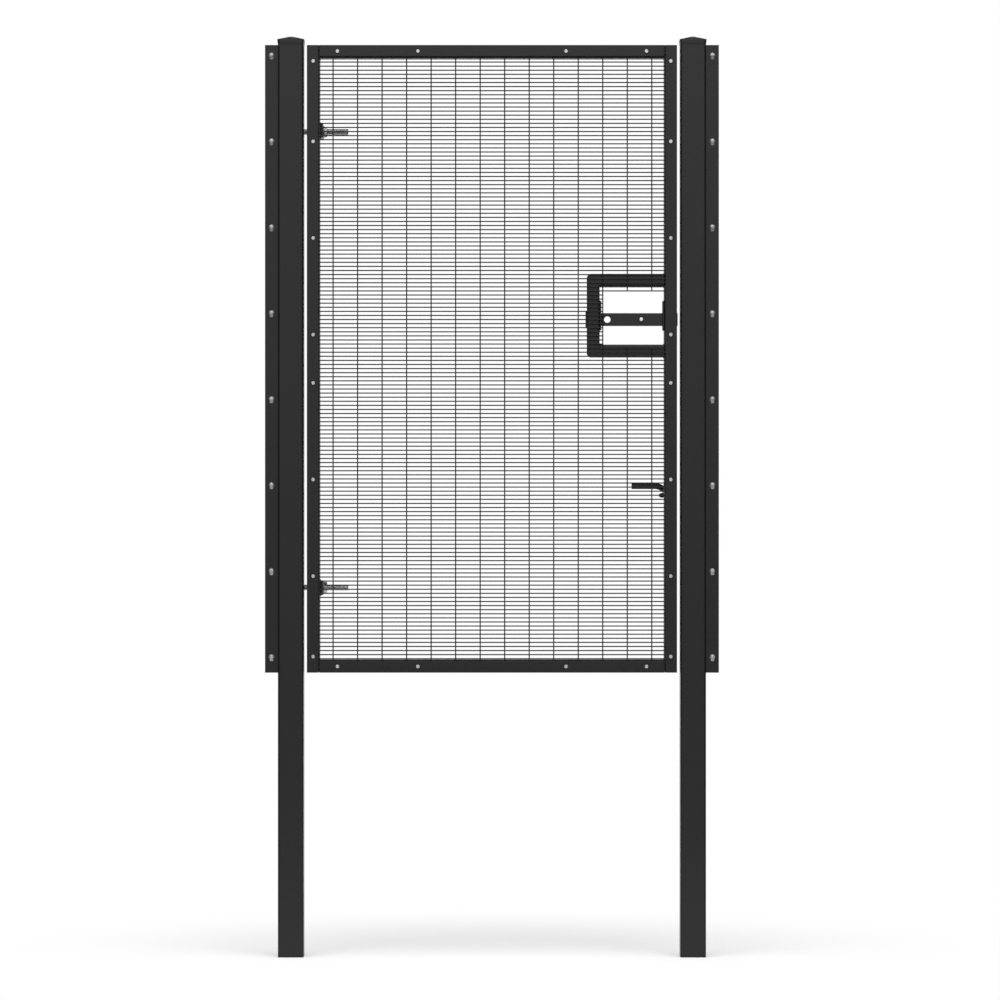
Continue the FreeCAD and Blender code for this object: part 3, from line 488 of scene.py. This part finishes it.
# %% Upright wires
uprights = []
count = round((upper_high.x - upper_low.x - 2 * half_bar) / UPRIGHT_PITCH) + 1
for step in range(count):
    x = upper_low.x + half_bar + UPRIGHT_PITCH * step
    spans = [(lower_low.z, upper_high.z)]
    if x > middle_high.x:
        spans = [(lower_low.z, middle_low.z), (middle_high.z, upper_high.z)]
    uprights += [(x, low, high) for low, high in spans]
maker = Maker()
for x, low, high in uprights:
    wire(maker, (x, upright_y, low), (x, upright_y, high))
piece = maker.finish("mesh_upright_wires", "leaf", coat, "powder_coat")
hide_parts("mesh_uprights", "mesh_upper_uprights", "mesh_lower_uprights")
print("upright wires:", len(uprights))

# %% [markdown]
# ## The welds between the wires
# Each crossing is a resistance weld: the two wires are squeezed together
# and a small collar of steel swells out.
# It could be left out, because it is under a millimetre high,
# but close up the mesh would look like loose rods.
# A low eight-sided bead at each crossing is enough, and they are all one mesh.

# %% Weld collars
SWOLLEN = (0.0021, 0.0012, 0.0021)
TOUCH = 0.001


def bead(maker, centre, reach, sides=8):
    """A small squashed ball, wider across than it is deep."""
    centre = Vector(centre)
    wide, deep, high = reach
    rings = []
    for height, size in ((0.7, 0.7), (0.0, 1.0), (-0.7, 0.7)):
        points = []
        for step in range(sides):
            angle = 2 * math.pi * (step + 0.5) / sides
            across = math.cos(angle) * wide * size
            up = math.sin(angle) * high * size
            points.append(centre + Vector((across, deep * height, up)))
        rings.append(points)
    skin(maker, rings)


maker = Maker()
weld_y = (rung_y + upright_y) / 2
crossings = 0
for left, right, z in rungs:
    for x, low, high in uprights:
        if left - TOUCH < x < right + TOUCH and low - TOUCH < z < high + TOUCH:
            bead(maker, (x, weld_y, z), SWOLLEN)
            crossings += 1
maker.finish("mesh_weld_collars", "leaf", coat, "powder_coat")
print("crossings welded:", crossings)

# %% [markdown]
# ## Bolts through the clamp bars
# The mesh is held to the frame by flat bars with small hexagon bolts, 10 mm across their flats.
# A real head has a round chamfer cut into its corners, which is what catches the light.
# It could be a six-sided cylinder, but that has sharp corners all the way up.
# So rings of points are pushed out to a hexagon, and the last ring is held to a circle, as a chamfer is.

# %% Where the leaf's bolts are
BOLT_EDGE = 0.0195
STILE_BOLTS = (0.075, 0.375, 0.675, 0.925)
RAIL_BOLTS = (0.230, 0.480)
leaf_low, leaf_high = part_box("hinge_clamp_bar")
latch_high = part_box("latch_clamp_bar")[1]
top_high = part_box("top_clamp_bar")[1]
foot_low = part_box("bottom_clamp_bar")[0]
bar_face = leaf_low.y
middle_z = (leaf_low.z + leaf_high.z) / 2
middle_x = (leaf_low.x + latch_high.x) / 2
leaf_bolts = []
for offset in STILE_BOLTS:
    for z in (middle_z - offset, middle_z + offset):
        leaf_bolts.append((leaf_low.x + BOLT_EDGE, z))
        leaf_bolts.append((latch_high.x - BOLT_EDGE, z))
for offset in RAIL_BOLTS:
    for x in (middle_x - offset, middle_x + offset):
        leaf_bolts.append((x, top_high.z - BOLT_EDGE))
        leaf_bolts.append((x, foot_low.z + BOLT_EDGE))
print("leaf bolts:", len(leaf_bolts))

# %% Hexagon heads
HEAD_FLATS = 0.0102
HEAD_HEIGHT = 0.0042
FLANGE_RADIUS = 0.0053
FLANGE_HEIGHT = 0.0007
SPANNER_STEP = 47
# The chamfer's height as a share of the corner's reach, and its circle's radius as a share of the flats.
CHAMFER_HEIGHT = 0.06
CHAMFER_CIRCLE = 0.475


def hexagon(maker, foot, along, flats, height, turn=0.0, sides=24):
    """A hexagon head or nut, with its corners chamfered towards its free end."""
    foot = Vector(foot)
    along = Vector(along).normalized()
    corner = flats / math.sqrt(3)
    chamfer = corner * CHAMFER_HEIGHT
    reach = []
    for step in range(sides):
        angle = 2 * math.pi * step / sides
        from_flat = angle % (math.pi / 3) - math.pi / 6
        reach.append(corner * math.cos(math.pi / 6) / math.cos(from_flat))
    circle = ring((0, 0, 0), along, 1.0, sides, turn)
    rings = []
    limits = ((0.0, corner), (height - chamfer, corner), (height, flats * CHAMFER_CIRCLE))
    for rise, limit in limits:
        level = foot + along * rise
        rings.append([level + point * min(size, limit) for size, point in zip(reach, circle)])
    skin(maker, rings)


maker = Maker()
outward = Vector((0, -1, 0))
flange = [(0.0, FLANGE_RADIUS), (FLANGE_HEIGHT, FLANGE_RADIUS)]
for index, (x, z) in enumerate(leaf_bolts):
    # No fitter leaves every head at the same angle.
    turn = math.radians((index * SPANNER_STEP) % 60)
    lathe(maker, (x, bar_face, z), outward, flange, sides=28)
    hexagon(maker, (x, bar_face - FLANGE_HEIGHT, z), outward, HEAD_FLATS, HEAD_HEIGHT, turn)
maker.finish("leaf_bolts", "leaf", zinc, "zinc", smooth=25)

# %% [markdown]
# ## Bolts on the fence strips
# On the outer side of each post eight larger bolts would clamp a fence panel.
# In the photograph each looks like a bright round head over a dimmer tongue that points down.
# A plain round head would miss the tongue. It is made as a domed nut on a tab washer,
# whose tongue is bent over the strip so that the nut can't turn.

# %% Domed nuts and tab washers
STRIP_TOP = 0.0335
STRIP_FOOT = 0.0475
STRIP_BOLTS = 8
WASHER_LIFT = 0.0015
WASHER_THICK = 0.0012
END_NUT = 0.0080
END_FLATS = 0.016
END_TURN = 11
# Profiles to turn, as (height, radius).
DOME = [(0.0, 0.0079), (0.0028, 0.0079), (0.0045, 0.0073), (0.0062, 0.0060),
        (0.0073, 0.0040), (0.0079, 0.0018), (0.0080, 0.0004)]
DISC = [(0.0, 0.0083), (0.0010, 0.0083), (WASHER_THICK, 0.0080)]
BOLT_END = [(0.0, 0.0049), (0.0040, 0.0049), (0.0048, 0.0041)]
# Corners of the tongue, as (across, up, how far its front stands out).
TONGUE = [(-0.0054, -0.0030, 0.0044), (0.0054, -0.0030, 0.0044), (0.0054, -0.0080, 0.0026),
          (0.0034, -0.0112, 0.0014), (-0.0034, -0.0112, 0.0014), (-0.0054, -0.0080, 0.0026)]
domes, washers, shanks = (Maker(), Maker(), Maker())
for side in ("hinge", "latch"):
    low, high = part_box(f"{side}_post_strip")
    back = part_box(f"{side}_post_flange")[1].y
    face = low.y
    x = (low.x + high.x) / 2
    pitch = (high.z - low.z - STRIP_TOP - STRIP_FOOT) / (STRIP_BOLTS - 1)
    for step in range(STRIP_BOLTS):
        z = low.z + STRIP_FOOT + pitch * step
        lathe(domes, (x, face - WASHER_THICK, z + WASHER_LIFT), outward, DOME, sides=28)
        lathe(washers, (x, face, z + WASHER_LIFT), outward, DISC, sides=28)
        front = [(x + across, face - rise, z + up) for across, up, rise in TONGUE]
        rear = [(x + across, face, z + up) for across, up, rise in TONGUE]
        skin(washers, [front, rear])
        turn = math.radians(END_TURN * step)
        hexagon(shanks, (x, back, z), (0, 1, 0), END_FLATS, END_NUT, turn)
        lathe(shanks, (x, back + END_NUT, z), (0, 1, 0), BOLT_END, sides=20)
# The domed nuts and tab washers are in the darker dull zinc, a painted shade.
domes.finish("strip_domed_nuts", "posts", dull_painted_shade_zinc, "zinc", smooth=50)
washers.finish("strip_tab_washers", "posts", dull_painted_shade_zinc, "zinc")
shanks.finish("strip_bolt_ends", "posts", zinc, "zinc", smooth=25)

# %% [markdown]
# ## The hinge bolts
# Each hinge is an eye on a long threaded stud. Two nuts on washers hold it to a lug,
# so that the leaf can be set level.
# The CAD stud is plain. A screw thread could be a bump, but its outline would stay straight.
# So the thread is real geometry: rings of points whose radius follows a 2.5 mm triangle wave
# along the stud, turned a little at each step so that the crest climbs like a screw.

# %% Threaded studs
PITCH = 0.0025
THREAD_SIDES = 24
RINGS_PER_TURN = 4
THREAD_DEPTH = PITCH * 0.54
# Crests are a little flat, and the last turn dies away in a cone.
CREST_GAIN = 1.15
END_CONE = 0.8


def thread(maker, start, along, length, radius):
    """A screw thread made of rings whose radius follows the turn of the screw."""
    start = Vector(start)
    along = Vector(along).normalized()
    first, other = square_to(along)
    root = radius - THREAD_DEPTH
    levels = int(length / PITCH * RINGS_PER_TURN)
    rings = []
    for level in range(levels + 1):
        height = length * level / levels
        points = []
        for step in range(THREAD_SIDES):
            turn = step / THREAD_SIDES
            phase = (height / PITCH - turn) % 1.0
            crest = 1 - abs(2 * phase - 1)
            size = root + THREAD_DEPTH * min(1.0, crest * CREST_GAIN)
            size = min(size, root + (length - height) * END_CONE)
            angle = 2 * math.pi * turn
            spoke = math.cos(angle) * first + math.sin(angle) * other
            points.append(start + along * height + size * spoke)
        rings.append(points)
    skin(maker, rings)


def hinge_places(level):
    """The corners of a hinge's eye bolt, lug and nuts, the middle of its pin, and its height."""
    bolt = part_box(f"{level}_eye_bolt")
    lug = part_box(f"{level}_hinge_lug")
    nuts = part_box(f"{level}_hinge_nuts")
    pin_low, pin_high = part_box(f"{level}_hinge_pin")
    return bolt, lug, nuts, (pin_low + pin_high) / 2, (bolt[0].z + bolt[1].z) / 2


print("turns of thread to a centimetre:", round(0.01 / PITCH, 1))

# %% Eyes and studs
EYE_BORE = 0.0105
EYE_RIM = 0.0015
SHANK = 0.009
SHANK_END = 0.0085
STUD = 0.010
# The shank starts inside the eye and stops just before the first nut, where the thread begins.
SUNK = 0.002
SHORT = 0.004
for level in ("top", "bottom"):
    (low, high), _, nuts, pin, middle = hinge_places(level)
    half = (high.z - low.z) / 2
    outer = pin.x - low.x
    rounds = [(-half, EYE_BORE), (-half, outer - EYE_RIM), (-half + EYE_RIM, outer),
              (half - EYE_RIM, outer), (half, outer - EYE_RIM), (half, EYE_BORE)]
    levels = [ring((pin.x, pin.y, middle + rise), (0, 0, 1), radius, 40) for rise, radius in rounds]
    maker = Maker()
    skin(maker, levels, loop=True)
    start = pin.x + outer - SUNK
    end = nuts[0].x - SHORT
    shank = [(0.0, SHANK), (end - start, SHANK), (end - start + 0.001, SHANK_END)]
    lathe(maker, (start, pin.y, middle), (1, 0, 0), shank, sides=28)
    eye = maker.finish(f"{level}_hinge_eye", "leaf", zinc, "zinc", smooth=40)
    maker = Maker()
    thread(maker, (end, pin.y, middle), (1, 0, 0), high.x - end, STUD)
    # The thread is in the lighter polished zinc, a painted light.
    stud = maker.finish(f"{level}_hinge_thread", "leaf", polished_painted_light_zinc, "zinc", smooth=60)
    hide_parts(f"{level}_eye_bolt")
    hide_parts(f"{level}_eye_bolt")

# %% Nuts and washers
# Each nut stops where it was tightened, so the two hinges' nuts are turned differently.
WASHER = 0.0025
WASHER_RADIUS = 0.0180
WASHER_EDGE = 0.0004
disc = [
    (0.0, WASHER_RADIUS),
    (WASHER - WASHER_EDGE, WASHER_RADIUS),
    (WASHER, WASHER_RADIUS - WASHER_EDGE),
]
for level, turn in (("top", math.radians(14)), ("bottom", math.radians(30))):
    _, lug, nuts, pin, middle = hinge_places(level)
    flats = nuts[1].z - nuts[0].z
    maker = Maker()
    for face, end, way in ((lug[0].x, nuts[0].x, -1), (lug[1].x, nuts[1].x, 1)):
        along = (way, 0, 0)
        lathe(maker, (face, pin.y, middle), along, disc, sides=40)
        seat = (face + way * WASHER, pin.y, middle)
        hexagon(maker, seat, along, flats, abs(end - face) - WASHER, turn)
    pair = maker.finish(f"{level}_hinge_nut_pair", "leaf", zinc, "zinc", smooth=25)
    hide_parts(f"{level}_hinge_nuts")

# %% [markdown]
# ## Weld beads
# The frame is welded, and a bead of weld shows wherever a plate or tube joins another.
# A plain round bar in the corner would do from afar. A real bead is a row of overlapping ripples.
# So each bead is a run of rings whose radius swells and shrinks every three millimetres.
# Half of it is sunk in the steel, and what stands out is the fillet.

# %% A run of weld
RIPPLE = 0.003
THINNEST = 0.84
SWELL = 0.16
# Each run starts and ends thin, and widens by this share of its radius for each metre along it.
END_WIDTH = 0.45
END_GROWTH = 240


def weld_run(maker, points, radius, sides=8):
    """A bead of weld along straight runs between points, thinner at the ends of each run."""
    for start, end in zip(points, points[1:]):
        start, end = (Vector(start), Vector(end))
        length = (end - start).length
        steps = max(4, round(length / (RIPPLE / 3)))
        rings = []
        for step in range(steps + 1):
            share = step / steps
            swell = THINNEST + SWELL * abs(math.sin(math.pi * share * length / RIPPLE))
            from_end = min(share, 1 - share) * length
            taper = min(1.0, END_WIDTH + END_GROWTH * from_end)
            rings.append(ring(start.lerp(end, share), end - start, radius * swell * taper, sides))
        skin(maker, rings)


def corners_of(name):
    """The lowest and highest corners of a CAD piece, as six numbers."""
    low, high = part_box(name)
    return low.x, low.y, low.z, high.x, high.y, high.z


def two_welds(maker, x, front, back, levels, radius):
    """A level bead at the foot and one at the top of a piece's side, from front to back."""
    for z in levels:
        weld_run(maker, [(x, front, z), (x, back, z)], radius)


print("ripple length:", RIPPLE)

# %% Beads on the leaf
LUG_BEAD = 0.0035
GUIDE_BEAD = 0.0030
ARM_BEAD = 0.0028
PLATE_BEAD = 0.0026
COLLAR_BEAD = 0.0024
# Most beads stop a few millimetres before an edge, where a welder lifts the torch.
beads = Maker()
stile_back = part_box("hinge_stile")[1].y
for level in ("top", "bottom"):
    left, front, low, right, back, high = corners_of(f"{level}_hinge_lug")
    two_welds(beads, left, front + 0.001, stile_back - 0.006, (low, high), LUG_BEAD)
    weld_run(beads, [(left, front, low), (left, front, high)], LUG_BEAD)
for place in ("top", "middle", "bottom"):
    left, front, low, right, back, high = corners_of(f"drop_bolt_{place}_guide")
    for z in (low, high):
        weld_run(beads, [(left + 0.002, front, z), (right - 0.002, front, z)], GUIDE_BEAD)
for arm in ("top", "bottom"):
    left, front, low, right, back, high = corners_of(f"latch_frame_{arm}_arm")
    weld_run(beads, [(right, front + 0.006, high), (right, back - 0.003, high)], ARM_BEAD)
    weld_run(beads, [(right, back, high - 0.003), (right, back, low + 0.003)], ARM_BEAD)
    weld_run(beads, [(right, back - 0.003, low), (right, front + 0.006, low)], ARM_BEAD)
left, front, low, right, back, high = corners_of("slide_bolt_near_guide")
two_welds(beads, left, front + 0.004, back - 0.004, (low, high), PLATE_BEAD)
left, front, low, right, back, high = corners_of("slide_bolt_far_guide")
two_welds(beads, right, front + 0.004, back - 0.002, (low, high), PLATE_BEAD)
weld_run(beads, [(right, back, low), (right, back, high)], PLATE_BEAD)
left, front, low, right, back, high = corners_of("slide_bolt_collar")
two_welds(beads, right, front + 0.002, back - 0.002, (low, high), COLLAR_BEAD)
print("beads so far:", len(beads.faces), "faces")

# %% Beads across the mitred corners
TUBE = 0.040
ROUND = 0.006
BACK_BEAD = 0.0016
INNER_BEAD = 0.0022
frame_left, frame_front, frame_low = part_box("hinge_stile")[0]
frame_right, frame_back, frame_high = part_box("latch_stile")[1]
for x, way in ((frame_left, 1), (frame_right, -1)):
    for z, up in ((frame_low, 1), (frame_high, -1)):
        outer = (x + way * ROUND, frame_back - 0.0004, z + up * ROUND)
        inner = (x + way * (TUBE - ROUND), frame_back - 0.0004, z + up * (TUBE - ROUND))
        weld_run(beads, [outer, inner], BACK_BEAD)
        corner_x, corner_z = x + way * TUBE, z + up * TUBE
        run = [(corner_x, frame_back - 0.005, corner_z), (corner_x, frame_front + ROUND, corner_z)]
        weld_run(beads, run, INNER_BEAD)
beads.finish("leaf_weld_beads", "leaf", coat, "powder_coat", smooth=60)

# %% Beads on the posts
POST_FLAT = 0.031
BRACKET_BEAD = 0.0038
PIN_BEAD = 0.0021
STITCH_BEAD = 0.0036
STITCH = 0.060
STITCH_START = 0.070
STITCH_MARGIN = 0.2
STITCHES = 8
# Rings of weld over a pin's seat, on the side of its bracket that faces away from the eye.
PLUG_RINGS = (0.0025, 0.0060, 0.0090)
PLUG_SIDES = 12
beads = Maker()
for level in ("top", "bottom"):
    left, front, low, right, back, high = corners_of(f"{level}_hinge_bracket")
    for z in (low, high):
        weld_run(beads, [(left + 0.002, front, z), (POST_FLAT, front, z)], BRACKET_BEAD)
    weld_run(beads, [(left, front, low), (left, front, high)], BRACKET_BEAD)
    pin_low, pin_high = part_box(f"{level}_hinge_pin")
    pin = (pin_low + pin_high) / 2
    z = high if level == "top" else low
    turns = [2 * math.pi * step / PLUG_SIDES for step in range(PLUG_SIDES + 1)]
    for radius in PLUG_RINGS:
        spot = [(pin.x + radius * math.cos(turn), pin.y + radius * math.sin(turn), z) for turn in turns]
        weld_run(beads, spot, PIN_BEAD)
for side in ("hinge", "latch"):
    left, front, low, right, back, high = corners_of(f"{side}_post_flange")
    seam = right if side == "hinge" else left
    for step in range(STITCHES):
        start = low + STITCH_START + (high - low - STITCH_MARGIN) * step / (STITCHES - 1)
        weld_run(beads, [(seam, back, start), (seam, back, start + STITCH)], STITCH_BEAD)
beads.finish("post_weld_beads", "posts", coat, "powder_coat", smooth=60)

# %% [markdown]
# ## The knob of the slide bolt
# A short steel pin stands out of the flat bar for the fingers, and shines where the coat was masked.
# The CAD pin has a plain bevel. It could be kept, but a bevel gives one hard line of light.
# Turned on a lathe here, the knob gets a narrower neck and a softly rounded rim.

# %% Knob
NECK_SHARE = 0.86
NECK_END = 0.0040
SHOULDER = 0.0052
SOFT_RIM = 0.0016
low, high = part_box("slide_bolt_knob")
reach = high.y - low.y
radius = (high.x - low.x) / 2
outline = [(0.0, radius * NECK_SHARE), (NECK_END, radius * NECK_SHARE), (SHOULDER, radius)]
for step in range(7):
    turn = math.radians(15 * step)
    rise = reach - SOFT_RIM + SOFT_RIM * math.sin(turn)
    outline.append((rise, radius - SOFT_RIM + SOFT_RIM * math.cos(turn)))
maker = Maker()
lathe(maker, ((low.x + high.x) / 2, high.y, (low.z + high.z) / 2), outward, outline, sides=40)
# The knob is in the lighter polished zinc, a painted light.
knob = maker.finish("slide_bolt_knob_turned", "slide_bolt", polished_painted_light_zinc, "zinc", smooth=50)
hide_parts("slide_bolt_knob")

# %% [markdown]
# ## The floor
# The photograph is a product picture on plain white, with nothing to see under the gate.
# A floor that just ended would show its rim against that white.
# A studio curves its paper up behind the object, but such a curve would hide the gate's back.
# So the floor itself fades: near the posts it takes their shadows,
# and further out it glows as white as the world.

# %% Floor
FLOOR_MIDDLE = (0.625, 0.0, 0.0)
FLOOR_REACH = 2.4
FLOOR_SIDES = 96
FADE_START = 0.45
FADE_END = 1.8
BLACK = (0, 0, 0, 1)
WHITE = (1, 1, 1, 1)
SOFT_GLOW = (0.26, 0.26, 0.26, 1)


def pale_floor():
    """White paper near the gate that fades into a white glow."""
    material, flow, shader, place = new_material("pale_floor")
    cloud = noise(flow, place, 1.5, detail=2.0)
    away = flow.add("VectorMath", {"operation": "DISTANCE"}, {0: place, 1: FLOOR_MIDDLE}, out="Value")
    fade = flow.add("MapRange", {"interpolation_type": "SMOOTHSTEP"},
                    {"Value": away, "From Min": FADE_START, "From Max": FADE_END})
    paper = cloud.mix((0.94, 0.94, 0.94, 1), (0.97, 0.97, 0.97, 1))
    colour = fade.mix(paper, BLACK)
    glow = fade.mix(SOFT_GLOW, WHITE)
    connect(flow, shader, {"Base Color": colour, "Emission Color": glow})
    shader.inputs["Roughness"].default_value = 0.9
    shader.inputs["Specular IOR Level"].default_value = 0.0
    shader.inputs["Emission Strength"].default_value = 1.0
    return material


rim = []
for step in range(FLOOR_SIDES):
    turn = 2 * math.pi * step / FLOOR_SIDES
    rim.append((FLOOR_MIDDLE[0] + FLOOR_REACH * math.cos(turn), FLOOR_REACH * math.sin(turn), 0.0))
mesh = bpy.data.meshes.new("floor")
mesh.from_pydata(rim, [], [tuple(range(FLOOR_SIDES))])
mesh.materials.append(pale_floor())
floor = bpy.data.objects.new("floor", mesh)
bpy.context.scene.collection.objects.link(floor)
print("floor across:", 2 * FLOOR_REACH, "m")


# %% [markdown]
# ## The light
# The posts' flat faces are lighter in the photograph than the rounded corners beside them,
# so most light comes from behind the camera.
# A sun or a bare bulb would draw hard streaks on the coat. A broad white card is used instead:
# a flat face mirrors the card, while a corner mirrors the dark beside it.
# A second card stands behind the gate, two smaller ones stand to its sides and a little behind it,
# and a lamp hangs above and in front.

# %% Lamps
def lamp(name, place, aim, size, brightness):
    """A rectangular soft lamp that points at a place. Its brightness is what a mirror would show."""
    data = bpy.data.lights.new(name, "AREA")
    data.shape = "RECTANGLE"
    data.size, data.size_y = size
    data.energy = brightness * math.pi * size[0] * size[1]
    holder = bpy.data.objects.new(name, data)
    holder.location = place
    holder.rotation_euler = (Vector(aim) - Vector(place)).to_track_quat("-Z", "Y").to_euler()
    bpy.context.scene.collection.objects.link(holder)


GATE_MIDDLE = (0.625, 0.0, 1.45)
lamp("front_card", (0.6, -17.5, 4.6), GATE_MIDDLE, (30.0, 10.0), 1.2)
lamp("rear_card", (0.6, 13.0, 3.0), GATE_MIDDLE, (30.0, 10.5), 1.2)
lamp("left_card", (-8.0, 4.0, 2.5), GATE_MIDDLE, (9.0, 5.0), 0.8)
lamp("right_card", (9.2, 4.0, 2.5), GATE_MIDDLE, (9.0, 5.0), 0.8)
lamp("over_lamp", (0.6, -3.0, 6.5), (0.6, 0.0, 0.5), (9.0, 7.0), 2.1)

# %% [markdown]
# ## The world
# The picture's background is pure white, but a white world would light the gate from all sides
# and turn its black coat grey.
# A white wall behind the gate could do it for one view. Instead the world is mixed by the kind of ray:
# a ray from the camera sees white, and every other ray finds only a faint light.

# %% World
FAINT = 0.07
world = bpy.data.worlds.new("studio")
bpy.context.scene.world = world
world.use_nodes = True
world.node_tree.nodes.clear()
flow = Flow(world.node_tree)
seen = flow.add("Background", None, {"Color": WHITE, "Strength": 1.0})
lit = flow.add("Background", None, {"Color": WHITE, "Strength": FAINT})
camera_ray = flow.add("LightPath", out="Is Camera Ray")
both = flow.add("MixShader", None, {0: camera_ray, 1: lit, 2: seen})
output = world.node_tree.nodes.new("ShaderNodeOutputWorld")
world.node_tree.links.new(both.socket, output.inputs["Surface"])
bpy.context.scene.view_settings.view_transform = "Standard"
print("world nodes:", len(world.node_tree.nodes))

# %% [markdown]
# ## The camera
# The photograph was taken from far away with a long lens that was held level:
# both posts stand upright in it, and their inner sides don't show.
# A near camera could frame the gate too, but it would show those sides and spread the posts.

# %% Camera
LENS = 173.7
SENSOR = 36.0
CAMERA_PLACE = (0.650, -15.02, 1.4205)
data = bpy.data.cameras.new("photo_camera")
data.lens = LENS
data.sensor_width = SENSOR
camera = bpy.data.objects.new("photo_camera", data)
camera.location = CAMERA_PLACE
camera.rotation_euler = (math.radians(90), 0, 0)
bpy.context.scene.collection.objects.link(camera)
bpy.context.scene.camera = camera
print("camera stands", round(-camera.location.y, 2), "m in front")

# %% [markdown]
